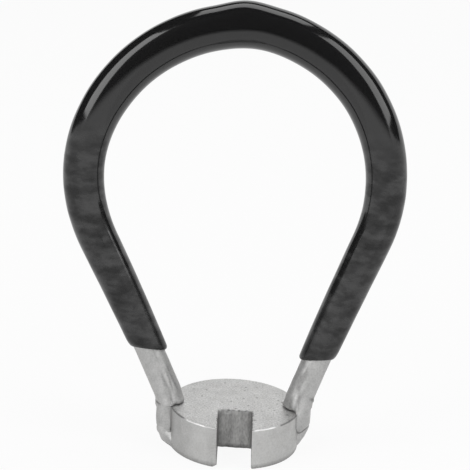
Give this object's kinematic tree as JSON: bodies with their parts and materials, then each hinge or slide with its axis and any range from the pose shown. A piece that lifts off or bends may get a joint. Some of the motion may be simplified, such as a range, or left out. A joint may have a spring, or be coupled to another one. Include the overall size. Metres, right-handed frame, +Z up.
{
  "type": "spoke wrench",
  "caption": "Small spoke wrench: a round steel head with a square slot for a spoke nipple, welded into a pear-shaped wire loop with a black dipped grip.",
  "frame": {"origin": "centre of the head's round underside, on the head's axis", "axes": "+Z up the head's axis, which is the spoke's line in use; -Y out of the slot's mouth; +X to the right when the slot faces you"},
  "size_m": [0.0336, 0.0186, 0.0418],
  "materials": {
    "head_steel": "satin nickel plate, fine tumbled grain",
    "wire_steel": "satin nickel plate, drawn lengthwise",
    "grip_vinyl": "dipped black vinyl, glossy with a light haze",
    "weld_steel": "plated weld metal, lumpy satin"
  },
  "bodies": {
    "root": {"wrench_head": "head_steel", "bow_wire": "wire_steel", "grip_coating": "grip_vinyl", "weld_left": "weld_steel", "weld_right": "weld_steel"}
  },
  "joints": []
}
